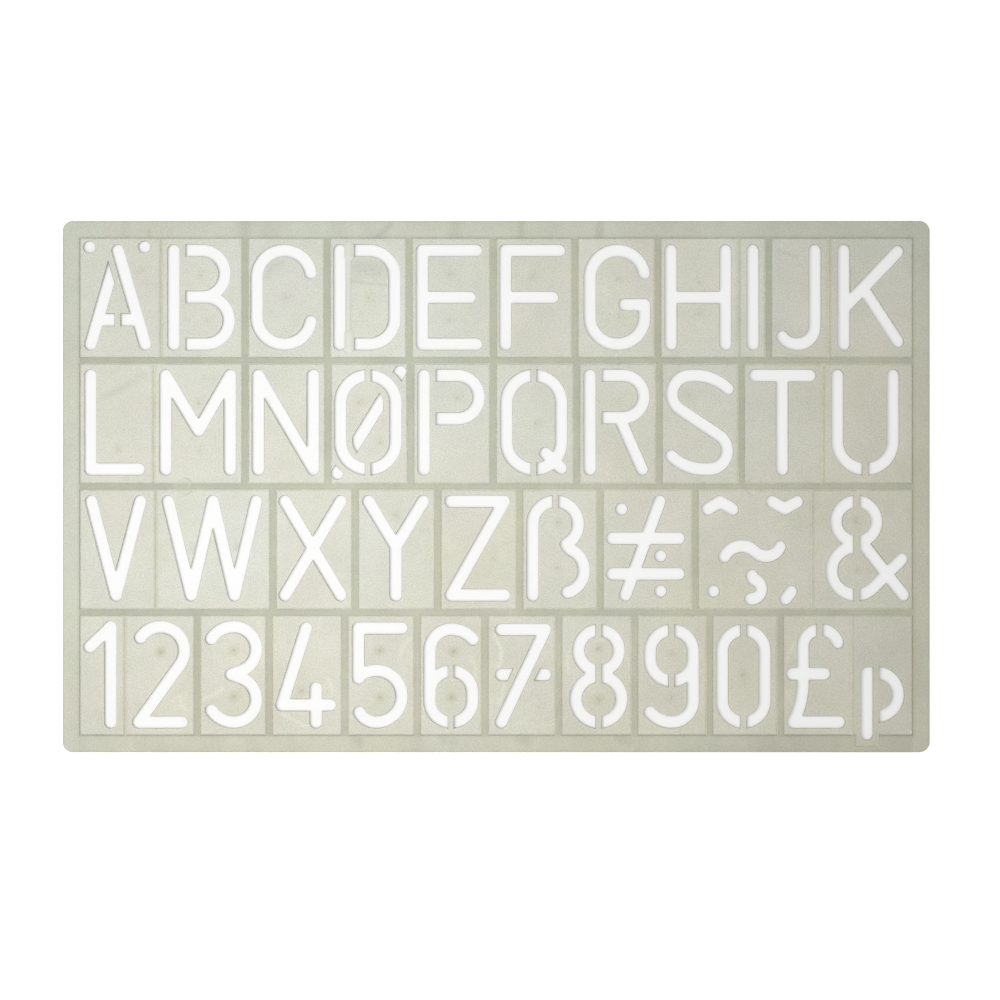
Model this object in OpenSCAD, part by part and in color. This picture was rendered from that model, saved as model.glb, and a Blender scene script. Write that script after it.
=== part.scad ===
// Lettering stencil: one moulded plastic sheet with a border, ribs between the rows and letters,
// and a thinner panel in each cell, cut through with one character in strokes of one width.
// The origin is below the middle of the sheet, on the surface it lies on. +X runs along the rows,
// +Y up the page and +Z out of the face that is written over.

/* [Lettering] */
// Height of the capital letters
cap_h = 30; // [26:1:40]
// Width of the slots that the pen follows
stroke_w = 3.4; // [2.8:0.1:3.8]
// Width of the bridges that hold the middles of the closed letters
bridge_w = 1.8; // [1.2:0.1:2.2]
// Width of the two bridges of the letter D
d_bridge_w = 2.5; // [2:0.1:3]

/* [Sheet] */
// Width of the plain border round the rows
border_w = 5; // [4.5:0.5:10]
// Radius of the sheet's corners
corner_r = 3; // [1:0.5:4]
// Thickness of the border and ribs
sheet_t = 2; // [1.8:0.1:3]
// Thickness of the letter panels, midway between the two faces
panel_t = 1.4; // [0.8:0.1:1.6]
// Room between the foot of a panel and the feet of its letters
foot_gap = 2.1; // [1.7:0.1:3]
// Room between the heads of the capitals and the top of a panel
head_gap = 1.6; // [1.4:0.1:3]
// Room round the tail of the small p in its step in the bottom border
tail_gap = 1.7; // [1.2:0.1:2]

/* [Ribs] */
// Width of the ribs between the rows
row_rib_w = 2; // [1.4:0.1:3]
// Width of the ribs between the letters
column_rib_w = 2; // [1.4:0.1:2.4]
// Width of the low lines that stand for a rib in the narrower gaps
line_w = 0.8; // [0.6:0.1:1.2]
// Rise of the low lines over both faces of the panels
line_rise = 0.1; // [0.05:0.05:0.15]
// How far the ribs and the border lean in from the panels to the faces
lean = 0.2; // [0.1:0.05:0.3]

/* [Marks] */
// Diameter of the two gate marks on the middle row rib
gate_mark_d = 4.8; // [3:0.2:6]
// Diameter of the ejector pin marks in the panels
pin_mark_d = 1.2; // [0.6:0.1:1.6]
// Depth of the ejector pin marks
pin_mark_depth = 0.12; // [0.06:0.01:0.2]
// Width of the mended beads over the bridges of the letter D
bead_w = 2.7; // [2:0.1:3]
// Height of the mended beads over the panel
bead_h = 0.3; // [0.1:0.05:0.5]

/* [Hidden] */
$fn = 72;
// The characters are drawn for this height of the capitals, and unit carries them to cap_h
DRAWN_CAP_H = 30;
unit = cap_h / DRAWN_CAP_H;
slot_w = stroke_w / unit;
half = slot_w / 2;
gap = bridge_w / unit;
// How far a cut runs past the face that it opens
OVER = 1;
// A dot is this much larger than the strips that it joins, so that their outlines cross cleanly
SWELL = 0.001;
// Finer rounding for the shallow domes, whose height is small beside their radius
DOME_FN = 180;

// The rows from the top down. A cell has its name, its width from rib middle to rib middle, the
// room left of its character, the character's width, its height over that of the capitals, what
// ends the cell at the right, and the middles of its pin marks from the character's left foot
ROWS = [
  [
    ["a_umlaut", 22.9, 1.1, 18.9, 0, "line", []],
    ["b", 23.9, 1.8, 19.1, 0, "rib", [[9.7, 21.3], [11.5, 8.4]]],
    ["c", 23.25, 1.5, 18.8, 0, "rib", [[10.1, 15]]],
    ["d", 23.25, 1.8, 19, 0, "rib", [[10.1, 14.9]]],
    ["e", 23.9, 2, 18.7, 0, "rib", [[9.5, 21.6], [9.6, 8.6]]],
    ["f", 23.1, 1.7, 18.7, 0, "rib", [[9.7, 21.1]]],
    ["g", 23.5, 2.6, 18.9, 0, "rib", [[9.7, 20.3], [10.3, 9.8]]],
    ["h", 23.1, 2.1, 18.9, 0, "line", [[9.9, 19.3], [9.9, 10.4]]],
    ["i", 8.3, 2.3, 3.4, 0, "rib", []],
    ["j", 17.3, 2.4, 12.6, 0, "line", []],
    ["k", 23.5, 2.5, 18.7, 0, "border", []]
  ],
  [
    ["l", 20.8, 1.1, 17.1, 0, "line", [[9.4, 7.4]]],
    ["m", 26, 1.6, 21.7, 0, "rib", [[11.3, 20.5], [11.6, 7.2]]],
    ["n", 23.5, 1.9, 19, 0, "rib", []],
    ["o_slash", 23.45, 1.75, 19.1, 0, "rib", [[6.9, 20.8], [13.1, 9.2]]],
    ["p", 23.35, 2, 19, 0, "rib", [[11.4, 22.1]]],
    ["q", 23.7, 2.1, 19, 0, "rib", [[10.2, 14.8]]],
    ["r", 23.4, 2.1, 18.7, 0, "rib", []],
    ["s", 23.3, 1.9, 19.3, 0, "rib", [[6.9, 22.8]]],
    ["t", 23.25, 2.3, 19, 0, "line", []],
    ["u", 25.25, 2.45, 19.2, 0, "border", []]
  ],
  [
    ["v", 21.4, 1.3, 17.3, 0, "line", []],
    ["w", 33.3, 1.7, 28.4, 0, "rib", [[9.5, 15], [21.5, 15.5]]],
    ["x", 23.3, 1.6, 19.2, 0, "rib", []],
    ["y", 23.45, 2, 18.9, 0, "rib", [[9.6, 24.4]]],
    ["z", 23.2, 2, 18.5, 0, "rib", [[13.8, 12.2]]],
    ["sharp_s", 22.8, 2, 18, 0, "rib", [[8.8, 22.3], [8.8, 9.4]]],
    ["signs", 26.95, 1.8, 22.3, 0, "rib", []],
    ["accents", 33.3, 1.9, 28.9, 0, "line", []],
    ["ampersand", 28.3, 3.9, 23.7, 0, "border", [[8.7, 22.7], [9, 8.8]]]
  ],
  [
    ["1", 12.65, 0.8, 9.4, 0.5, "line", []],
    ["2", 20.55, 2.05, 16.4, 0.5, "rib", [[8.1, 21.7]]],
    ["3", 20.4, 1.9, 16.4, 0.5, "rib", [[8.5, 22.2], [8.4, 8.9]]],
    ["4", 21.45, 1.8, 17.1, 0.1, "rib", [[7.4, 10.5]]],
    ["5", 20.55, 2.1, 15.7, 0.1, "rib", [[7.9, 22.1], [7.9, 8.8]]],
    ["6", 19.2, 1.8, 15.5, -0.2, "rib", [[8.6, 21.8], [8, 8.8]]],
    ["7", 20.9, 2.9, 15.9, -0.3, "rib", []],
    ["8", 21.55, 3.2, 16.4, -0.5, "rib", [[8.3, 22.7], [8.3, 8.3]]],
    ["9", 21.25, 2.75, 15.6, -0.5, "rib", [[7.9, 21.3], [7.9, 8.8]]],
    ["0", 20.1, 2, 15.5, -0.5, "rib", [[7.5, 15.1]]],
    ["pound", 20.4, 1.7, 16.8, -0.4, "line", []],
    ["small_p", 17, 2.6, 12.3, -12.7, "border", []]
  ]
];
ROW_COUNT = len(ROWS);
// How far each row's characters stand above or below the common foot gap
ROW_SHIFTS = [-0.05, 0.15, 0.1, -0.3];
// How far below its row's feet the tail of the small p ends
TAIL_DROP = 3.4;
// Middles of the gate marks, to the left and to the right of the sheet's middle
GATE_MARKS = [-88.4, 73.1];
// The rib below this row, counted from 0, carries them
MIDDLE_RIB = 1;

// Lengths that neighbours share are kept to hundredths, so that both have the same number
function to_hundredths(length) = round(length * 100) / 100;
function name_of(cell) = cell[0];
function width_of(cell) = to_hundredths(cell[1] * unit);
function room_of(cell) = to_hundredths(cell[2] * unit);
function char_w(cell) = cell[3];
function char_h(cell) = DRAWN_CAP_H + cell[4];
function end_of(cell) = cell[5];
function marks_of(cell) = cell[6];
function run(row, i) = i == 0 ? 0 : run(row, i - 1) + width_of(ROWS[row][i - 1]);
function end_w(end) = end == "rib" ? column_rib_w : end == "line" ? line_w : 0;

panel_low = (sheet_t - panel_t) / 2;
panel_top = panel_low + panel_t;
panel_h = foot_gap + cap_h + head_gap;
field_l = run(0, len(ROWS[0]));
field_w = ROW_COUNT * panel_h + (ROW_COUNT - 1) * row_rib_w;
sheet_l = field_l + 2 * border_w;
sheet_w = field_w + 2 * border_w;

function panel_foot(row) = field_w / 2 - (row + 1) * panel_h - row * row_rib_w;
function letter_foot(row) = panel_foot(row) + foot_gap + to_hundredths(ROW_SHIFTS[row] * unit);
// Left end of a cell, which for the cell after the last is the end of the row
function cell_left(row, i) = i == len(ROWS[row]) ? field_l / 2 : run(row, i) - field_l / 2;
function panel_left(row, i) = cell_left(row, i) + (i == 0 ? 0 : end_w(end_of(ROWS[row][i - 1])) / 2);
function panel_right(row, i) = cell_left(row, i + 1) - end_w(end_of(ROWS[row][i])) / 2;

BORDER_COLOUR = [0.77, 0.78, 0.70];
RIB_COLOUR = [0.70, 0.71, 0.62];
PANEL_COLOUR = [0.83, 0.83, 0.77];
BEAD_COLOUR = [0.86, 0.86, 0.80];

// Point on a circle
function at(centre, radius, angle) = centre + radius * [cos(angle), sin(angle)];

// Round end of a slot
module dot(point) {
  translate(point) circle(half + SWELL);
}

// Straight strip with square ends
module band(a, b, width = slot_w) {
  translate(a) rotate(atan2(b.y - a.y, b.x - a.x)) translate([0, -width / 2])
    square([norm(b - a), width]);
}

// Straight slots from point to point, round at the ends and corners
module path(points) {
  for (point = points) dot(point);
  for (i = [1 : len(points) - 1]) band(points[i - 1], points[i]);
}

// Straight slot that starts inside another slot and has one round end
module arm(a, b) {
  band(a, b);
  dot(b);
}

// Whole ring
module ring(centre, radius) {
  translate(centre) difference() {
    circle(radius + half);
    circle(radius - half);
  }
}

// Part of a ring with square ends, anticlockwise from one angle to the other
module bend(centre, radius, from, to) {
  reach = 2 * (radius + half);
  steps = 8;
  intersection() {
    ring(centre, radius);
    polygon(concat([centre], [for (i = [0 : steps]) at(centre, reach, from + (to - from) * i / steps)]));
  }
}

// Upright shape with half-round ends and its lower left corner at the origin
module oval(w, h) {
  translate([w / 2, w / 2]) circle(w / 2);
  translate([w / 2, h - w / 2]) circle(w / 2);
  translate([SWELL, w / 2]) square([w - 2 * SWELL, h - w]);
}

// The oval drawn in by a margin on all sides, or drawn out by a negative one
module inner_oval(w, h, margin) {
  translate([margin, margin]) oval(w - 2 * margin, h - 2 * margin);
}

// Slot round the inside of an oval
module oval_ring(w, h) {
  difference() {
    oval(w, h);
    inner_oval(w, h, slot_w);
  }
}

// Upright strip that is left standing across a slot
module bridge(x, low, high) {
  translate([x - gap / 2, low]) square([gap, high - low]);
}

// Cuts an upright bridge right through the slots given
module bridged(x, h) {
  difference() {
    union() children();
    bridge(x, -OVER, h + OVER);
  }
}

// Bar, half-round turn and bar back, which make the bowl of a letter with a stem
module bowl(right, low, high) {
  radius = (high - low) / 2;
  centre = [right - half - radius, low + radius];
  path([[half, low], [centre.x, low]]);
  path([[half, high], [centre.x, high]]);
  bend(centre, radius, -90, 90);
}

// Stem at the left and the slots that join it, parted by a bridge beside the stem
module parted_stem(h, width = gap) {
  path([[half, half], [half, h - half]]);
  difference() {
    union() children();
    translate([-OVER, -OVER]) square([OVER + slot_w + width, h + 2 * OVER]);
  }
}

module letter_a_umlaut(w, h) {
  apex = [w / 2, h - half];
  left_foot = [half, half];
  right_foot = [w - half, half];
  bar_y = 8.6;
  bar_end = half + (bar_y - half) * (w / 2 - half) / (h - slot_w);
  path([right_foot, apex]);
  difference() {
    path([left_foot, apex]);
    band(right_foot, 2 * apex - right_foot, slot_w + 2 * gap);
  }
  difference() {
    band([bar_end, bar_y], [w - bar_end, bar_y]);
    bridge(w / 2, 0, h);
  }
  for (x = [1.4, w - 1.9]) dot([x, h - 0.7]);
}

module letter_b(w, h) {
  waist = h / 2 + 0.1;
  upper_right = w - 1.2;
  parted_stem(h) {
    bowl(upper_right, waist, h - half);
    bowl(w, half, waist);
  }
}

module letter_c(w, h) {
  radius = w / 2 - half;
  low = [w / 2, w / 2];
  high = [w / 2, h - w / 2];
  opening = 10;
  path([[half, low.y], [half, high.y]]);
  bend(high, radius, opening, 180);
  bend(low, radius, 180, 360 - opening);
  dot(at(high, radius, opening));
  dot(at(low, radius, -opening));
}

module letter_d(w, h) {
  radius = 7.3;
  right = w - half;
  low = [right - radius, half + radius];
  high = [right - radius, h - half - radius];
  difference() {
    parted_stem(h, d_bridge_w / unit) {
      path([[half, half], [low.x, half]]);
      path([[half, h - half], [high.x, h - half]]);
      path([[right, low.y], [right, high.y]]);
      bend(low, radius, -90, 0);
      bend(high, radius, 0, 90);
    }
    for (bead = d_beads()) bead_outline(bead);
  }
}

module letter_e(w, h) {
  middle_end = w - 1.8 - half;
  path([[w - half, half], [half, half], [half, h - half], [w - half, h - half]]);
  arm([half, h / 2], [middle_end, h / 2]);
}

module letter_f(w, h) {
  middle_end = w - 1.9 - half;
  path([[half, half], [half, h - half], [w - half, h - half]]);
  arm([half, h / 2], [middle_end, h / 2]);
}

module letter_g(w, h) {
  radius = w / 2 - half;
  low = [w / 2, w / 2];
  high = [w / 2, h - w / 2];
  opening = 10;
  bar_y = h / 2 - 2.1;
  bar_left = 11.6;
  path([[half, low.y], [half, high.y]]);
  bend(high, radius, opening, 180);
  dot(at(high, radius, opening));
  bend(low, radius, 180, 360);
  path([[w - half, low.y], [w - half, bar_y], [bar_left, bar_y]]);
}

module letter_h(w, h) {
  path([[half, half], [half, h - half]]);
  path([[w - half, half], [w - half, h - half]]);
  band([half, h / 2], [w - half, h / 2]);
}

module letter_i(w, h) {
  path([[half, half], [half, h - half]]);
}

module letter_j(w, h) {
  radius = 5.1;
  hook_end = 216;
  centre = [w - half - radius, half + radius];
  path([[w - half, centre.y], [w - half, h - half]]);
  bend(centre, radius, hook_end, 360);
  dot(at(centre, radius, hook_end));
}

module letter_k(w, h) {
  path([[half, half], [half, h - half]]);
  arm([half, h / 2 - 3.1], [w - half, h - 2]);
  arm([7.2, h / 2 + 2.6], [w - half, 2.5]);
}

module letter_l(w, h) {
  path([[half, h - half], [half, half], [w - half, half]]);
}

module letter_m(w, h) {
  vertex = [11, h / 2 - 2.3];
  path([[half, half], [half, h - half], vertex, [w - half, h - half], [w - half, half]]);
}

module letter_n(w, h) {
  path([[half, half], [half, h - half], [w - half, half], [w - half, h - half]]);
}

// The stroke through the letter O passes beyond it at both ends, and bridges keep it off the oval
module letter_o_slash(w, h) {
  bridged(w / 2, h) oval_ring(w, h);
  difference() {
    path([[0.75, 0.5], [w - 0.4, h - 0.6]]);
    difference() {
      inner_oval(w, h, -gap);
      inner_oval(w, h, slot_w + gap);
    }
  }
}

module letter_p(w, h) {
  bar_y = h / 2 + 1;
  parted_stem(h) bowl(w, bar_y, h - half);
}

module letter_q(w, h) {
  bridged(w / 2, h) oval_ring(w, h);
  path([[12.8, 6.2], [17.2, 2]]);
}

module letter_r(w, h) {
  bar_y = h / 2 + 1.3;
  parted_stem(h) bowl(w, bar_y, h - half);
  arm([10.1, bar_y], [16.5, half]);
}

module letter_s(w, h) {
  half_s(w, h);
  translate([w, h]) rotate(180) half_s(w, h);
}

// The upper half of the letter S, from the middle of its slanting back
module half_s(w, h) {
  bowl_r = 5.25;
  brow_r = 13.2;
  brow_end = 45.6;
  middle = [w / 2, h / 2];
  bowl_middle = [7.05, h - half - bowl_r];
  brow_middle = [8.45, h - half - brow_r];
  back = middle - bowl_middle;
  // Where the straight back leaves the bowl without a corner
  bowl_end = 360 + atan2(back.y, back.x) - acos(bowl_r / norm(back));
  path([middle, at(bowl_middle, bowl_r, bowl_end)]);
  bend(bowl_middle, bowl_r, 90, bowl_end);
  path([[bowl_middle.x, h - half], [brow_middle.x, h - half]]);
  bend(brow_middle, brow_r, brow_end, 90);
  dot(at(brow_middle, brow_r, brow_end));
}

module letter_t(w, h) {
  stem_x = 9.4;
  path([[half, h - half], [w - half, h - half]]);
  arm([stem_x, h - half], [stem_x, half]);
}

module letter_u(w, h) {
  for (x = [half, w - half]) path([[x, w / 2], [x, h - half]]);
  bridged(w / 2, h) bend([w / 2, w / 2], w / 2 - half, 180, 360);
}

module letter_v(w, h) {
  path([[half, h - half], [w / 2, half], [w - half, h - half]]);
}

module letter_w(w, h) {
  path([[half, h - half], [8.2, half], [14.4, h - half], [20.5, half], [w - half, h - half]]);
}

module letter_x(w, h) {
  path([[half, half], [w - half, h - half]]);
  path([[half, h - half], [w - half, half]]);
}

module letter_y(w, h) {
  fork = [w / 2, h / 2 + 0.5];
  path([[half, h - half], fork, [w - half, h - half]]);
  arm(fork, [w / 2, half]);
}

module letter_z(w, h) {
  path([[half, h - half], [w - half, h - half], [half, half], [w - half, half]]);
}

module letter_sharp_s(w, h) {
  radius = 6.45;
  high = [half + radius, h - half - radius];
  low = [w - half - radius, 8.7];
  nub = [11.2, h / 2 + 1];
  high_end = -62;
  low_start = -75;
  low_end = 68;
  path([[half, half], [half, high.y]]);
  difference() {
    bend(high, radius, high_end, 180);
    bridge(high.x, high.y, h + OVER);
  }
  path([at(high, radius, high_end), nub, at(low, radius, low_end)]);
  bend(low, radius, low_start, low_end);
  dot(at(low, radius, low_start));
}

// Two bars, a slanting stroke and three dots, which serve for several signs
module signs(w, h) {
  bars = [h / 2 + 2.8, h / 2 - 7.3];
  for (y = bars) path([[half, y], [w - half, y]]);
  path([[5.4, half], [15.2, h - half]]);
  for (point = [[4.3, h - 3.9], [15.4, h / 2 - 2.2], [15.4, 2.8]]) dot(point);
}

// Loose accents: circumflex, caron, tilde, dot, cedilla and comma
module accents(w, h) {
  high = h - 1.8;
  low = h - 3.9;
  path([[half, low], [5.2, high], [8.8, low]]);
  path([[20, high], [23.6, low + 0.1], [w - half, high]]);
  tilde();
  dot([3.4, 2.8]);
  cedilla();
  path([[23.9, 0.6], [25.5, 2.7]]);
}

module tilde() {
  crest = [11.3, 10.3];
  crest_r = 5.3;
  crest_start = 44;
  crest_end = 154;
  trough = [18.3, 17];
  trough_r = 4.3;
  trough_start = 224;
  trough_end = 338;
  bend(crest, crest_r, crest_start, crest_end);
  dot(at(crest, crest_r, crest_end));
  path([at(crest, crest_r, crest_start), at(trough, trough_r, trough_start)]);
  bend(trough, trough_r, trough_start, trough_end);
  dot(at(trough, trough_r, trough_end));
}

module cedilla() {
  centre = [14.2, 3.4];
  radius = 2.8;
  from = -96;
  to = 80;
  bend(centre, radius, from, to);
  dot(at(centre, radius, from));
  path([at(centre, radius, to), [14.3, 7.2]]);
}

module ampersand(w, h) {
  ring_r = 5.75;
  bowl_r = 6.85;
  bowl_start = 80;
  bowl_end = 315;
  high = [8.7, h - half - ring_r];
  low = [half + bowl_r, half + bowl_r];
  bridged(8.8, h) {
    ring(high, ring_r);
    bend(low, bowl_r, bowl_start, bowl_end);
    path([at(low, bowl_r, bowl_end), [w - 2.1, 11.9]]);
    path([[10.5, h / 2 + 1.3], [w - half, half]]);
  }
}

module digit_1(w, h) {
  path([[half, h - 7.4], [w - half, h - half], [w - half, half]]);
}

module digit_2(w, h) {
  radius = 6.8;
  centre = [w - half - radius, h - half - radius];
  from = -35;
  to = 147;
  bend(centre, radius, from, to);
  dot(at(centre, radius, to));
  path([at(centre, radius, from), [half, half], [w - 2.4, half]]);
}

module digit_3(w, h) {
  half_3(w, h);
  translate([0, h]) mirror([0, 1]) half_3(w, h);
}

// The upper half of the digit 3, from its middle
module half_3(w, h) {
  radius = 6.45;
  flare_r = 7.5;
  flare_end = 147;
  centre = [w - half - radius, h - half - radius];
  flare = [centre.x, h - half - flare_r];
  bend(centre, radius, -70, 90);
  path([at(centre, radius, -70), [7.6, h / 2]]);
  bend(flare, flare_r, 90, flare_end);
  dot([centre.x, h - half]);
  dot(at(flare, flare_r, flare_end));
}

module digit_4(w, h) {
  bar_y = 6.6;
  stem_x = 11.4;
  path([[8.6, h - half], [half, bar_y], [w - half, bar_y]]);
  path([[stem_x, half], [stem_x, 11.4]]);
}

module digit_5(w, h) {
  radius = 7.35;
  bowl_end = 133;
  hook_r = 5.3;
  hook_end = 208;
  centre = [w - half - radius, half + radius];
  hook = [centre.x, half + hook_r];
  path([[w - half, h - half], [half, h - half], [half, h / 2 - 0.85]]);
  bend(centre, radius, -90, bowl_end);
  bend(hook, hook_r, hook_end, 270);
  dot([centre.x, half]);
  dot(at(hook, hook_r, hook_end));
}

module digit_6(w, h) {
  bowl_h = h / 2 + 3;
  flare_r = 8.05;
  flare_end = 40;
  shoulder = [w / 2, h - w / 2];
  flare = [w / 2, h - half - flare_r];
  arm([half, w / 2], [half, shoulder.y]);
  bend(shoulder, w / 2 - half, 90, 180);
  bend(flare, flare_r, flare_end, 90);
  dot([w / 2, h - half]);
  dot(at(flare, flare_r, flare_end));
  bridged(w / 2, bowl_h) oval_ring(w, bowl_h);
}

module digit_7(w, h) {
  bar_y = h / 2 + 0.35;
  foot = [half, half];
  head = [w - half, h - half];
  path([[half, h - half], head, foot]);
  difference() {
    path([[half, bar_y], [w - half, bar_y]]);
    band(foot, head, slot_w + 2 * gap);
  }
}

module digit_8(w, h) {
  high_r = 5.75;
  waist_w = 8.2;
  waist_h = 1.2;
  bridged(w / 2, h) {
    ring([w / 2, w / 2], w / 2 - half);
    ring([w / 2, h - half - high_r], high_r);
    translate([(w - waist_w) / 2, w - half]) square([waist_w, waist_h]);
  }
}

module digit_9(w, h) {
  translate([w, h]) rotate(180) digit_6(w, h);
}

module digit_0(w, h) {
  bridged(w / 2, h) oval_ring(w, h);
}

module pound(w, h) {
  stem_x = 4.85;
  left_r = 4.7;
  right_r = 5.1;
  right_end = 17;
  sweep_r = 24;
  sweep_y = 13;
  sweep = [stem_x - sweep_r, sweep_y];
  sweep_end = -asin((sweep_y - half) / sweep_r);
  bar_y = 15.4;
  top = [stem_x + left_r, h - half];
  right_middle = top + [0.25, -right_r];
  bridged(top.x, h) {
    bend(top - [0, left_r], left_r, 90, 180);
    bend(right_middle, right_r, right_end, 90);
    dot(at(right_middle, right_r, right_end));
  }
  path([[stem_x, sweep_y], [stem_x, top.y - left_r]]);
  bend(sweep, sweep_r, sweep_end, 0);
  path([[half, bar_y], [10.9, bar_y]]);
  path([at(sweep, sweep_r, sweep_end), [w - half, half]]);
}

module small_p(w, h) {
  radius = 6.2;
  centre = [w - half - radius, h - 7.8];
  path([[half, half - TAIL_DROP], [half, h - half]]);
  translate([half, h - slot_w]) square([half, slot_w - SWELL]);
  difference() {
    ring(centre, radius);
    translate([-w, -h]) square([w + slot_w + gap, 2 * h + OVER]);
  }
}

// The slots of one character, with its lower left corner at the origin
module character(name, w, h) {
  if (name == "a_umlaut") letter_a_umlaut(w, h);
  if (name == "b") letter_b(w, h);
  if (name == "c") letter_c(w, h);
  if (name == "d") letter_d(w, h);
  if (name == "e") letter_e(w, h);
  if (name == "f") letter_f(w, h);
  if (name == "g") letter_g(w, h);
  if (name == "h") letter_h(w, h);
  if (name == "i") letter_i(w, h);
  if (name == "j") letter_j(w, h);
  if (name == "k") letter_k(w, h);
  if (name == "l") letter_l(w, h);
  if (name == "m") letter_m(w, h);
  if (name == "n") letter_n(w, h);
  if (name == "o_slash") letter_o_slash(w, h);
  if (name == "p") letter_p(w, h);
  if (name == "q") letter_q(w, h);
  if (name == "r") letter_r(w, h);
  if (name == "s") letter_s(w, h);
  if (name == "t") letter_t(w, h);
  if (name == "u") letter_u(w, h);
  if (name == "v") letter_v(w, h);
  if (name == "w") letter_w(w, h);
  if (name == "x") letter_x(w, h);
  if (name == "y") letter_y(w, h);
  if (name == "z") letter_z(w, h);
  if (name == "sharp_s") letter_sharp_s(w, h);
  if (name == "signs") signs(w, h);
  if (name == "accents") accents(w, h);
  if (name == "ampersand") ampersand(w, h);
  if (name == "1") digit_1(w, h);
  if (name == "2") digit_2(w, h);
  if (name == "3") digit_3(w, h);
  if (name == "4") digit_4(w, h);
  if (name == "5") digit_5(w, h);
  if (name == "6") digit_6(w, h);
  if (name == "7") digit_7(w, h);
  if (name == "8") digit_8(w, h);
  if (name == "9") digit_9(w, h);
  if (name == "0") digit_0(w, h);
  if (name == "pound") pound(w, h);
  if (name == "small_p") small_p(w, h);
}

// Carries what is drawn from a character's lower left corner to its place on the sheet
module at_character(row, i) {
  translate([cell_left(row, i) + room_of(ROWS[row][i]), letter_foot(row)]) children();
}

module placed_character(row, i) {
  cell = ROWS[row][i];
  at_character(row, i) scale(unit) character(name_of(cell), char_w(cell), char_h(cell));
}

// Cuts a whole cell's character down through the sheet
module character_cut(row, i) {
  translate([0, 0, -OVER]) linear_extrude(sheet_t + 2 * OVER) placed_character(row, i);
}

// The beads that mend the letter D lie over its bridge: a thick one at each end and a thin one
// between. Each has its lower end, its length, its width and its height
BEAD_X = 4.4;
THIN_BEAD = 0.5;
function d_beads() = [
  [[BEAD_X, -0.8], 6.8, bead_w / unit, bead_h],
  [[BEAD_X, DRAWN_CAP_H - 4.6], 5.4, bead_w / unit, bead_h],
  [[BEAD_X - 0.2, 5], DRAWN_CAP_H - 8.6, bead_w / unit * THIN_BEAD, bead_h * THIN_BEAD]
];

// Plan of one bead, with round ends
module bead_outline(bead) {
  translate(bead[0] - [bead[2] / 2, 0]) oval(bead[2], bead[1]);
}

// Low domed bead with round ends, its lower end at the origin
module bead(length, width, height) {
  radius = (width * width / 4 + height * height) / (2 * height);
  straight = length - width;
  intersection() {
    translate([0, width / 2, height - radius]) {
      sphere(radius, $fn = DOME_FN);
      translate([0, straight, 0]) sphere(radius, $fn = DOME_FN);
      rotate([-90, 0, 0]) cylinder(straight, radius, radius, $fn = DOME_FN);
    }
    translate([-width, -OVER, 0]) cube([2 * width, length + 2 * OVER, height + OVER]);
  }
}

// Bar along X that leans in from the panels to the faces that stand over them
module leaning_bar(length, width, rise, side_lean) {
  side = width / 2;
  face = side - side_lean;
  low = panel_low - rise;
  high = panel_top + rise;
  rotate([90, 0, 90]) linear_extrude(length, center = true) polygon([
    [-face, low], [face, low], [side, panel_low], [side, panel_top],
    [face, high], [-face, high], [-side, panel_top], [-side, panel_low]
  ]);
}

// Space along X between two ribs or borders, which ends where their leaning sides begin
module leaning_space(length, width) {
  side = width / 2;
  mouth = side + 2 * lean;
  low = -panel_low;
  high = sheet_t + panel_low;
  rotate([90, 0, 90]) linear_extrude(length, center = true) polygon([
    [-mouth, low], [mouth, low], [side, panel_low], [side, panel_top],
    [mouth, high], [-mouth, high], [-side, panel_top], [-side, panel_low]
  ]);
}

module space_between_sides() {
  rotate(90) leaning_space(sheet_w + 2 * OVER, field_l);
}

module space_of_row(row) {
  translate([0, panel_foot(row) + panel_h / 2, 0]) leaning_space(sheet_l, panel_h);
}

// Border bar along X with its inner side at the origin
module border_bar(length) {
  rotate([90, 0, 90]) linear_extrude(length, center = true) polygon([
    [0, panel_low], [lean, 0], [border_w, 0],
    [border_w, sheet_t], [lean, sheet_t], [0, panel_top]
  ]);
}

// The sheet's outer shape
module sheet_blank() {
  inner = [sheet_l / 2 - corner_r, sheet_w / 2 - corner_r];
  linear_extrude(sheet_t) {
    square([sheet_l, 2 * inner.y], center = true);
    square([2 * inner.x, sheet_w], center = true);
    for (x = [-inner.x, inner.x]) for (y = [-inner.y, inner.y]) translate([x, y]) circle(corner_r);
  }
}

module right_border() {
  color(BORDER_COLOUR) intersection() {
    translate([field_l / 2, 0, 0]) rotate(-90) border_bar(sheet_w);
    sheet_blank();
  }
}

module left_border() {
  mirror([1, 0, 0]) right_border();
}

module top_border() {
  color(BORDER_COLOUR) intersection() {
    translate([0, field_w / 2, 0]) border_bar(sheet_l);
    space_between_sides();
  }
}

module bottom_border() {
  color(BORDER_COLOUR) difference() {
    mirror([0, 1, 0]) top_border();
    translate([0, 0, -OVER]) linear_extrude(sheet_t + 2 * OVER) tail_step();
  }
}

// Rib below a row, between the side borders. The middle one carries the gate marks
module row_rib(row) {
  color(RIB_COLOUR) {
    intersection() {
      translate([0, rib_y(row), 0]) leaning_bar(sheet_l, row_rib_w, panel_low, lean);
      space_between_sides();
    }
    if (row == MIDDLE_RIB) gate_marks();
  }
}

function rib_y(row) = panel_foot(row) - row_rib_w / 2;

module gate_marks() {
  for (x = GATE_MARKS) {
    translate([x * unit, rib_y(MIDDLE_RIB), panel_top]) cylinder(panel_low, d = gate_mark_d);
  }
}

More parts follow.
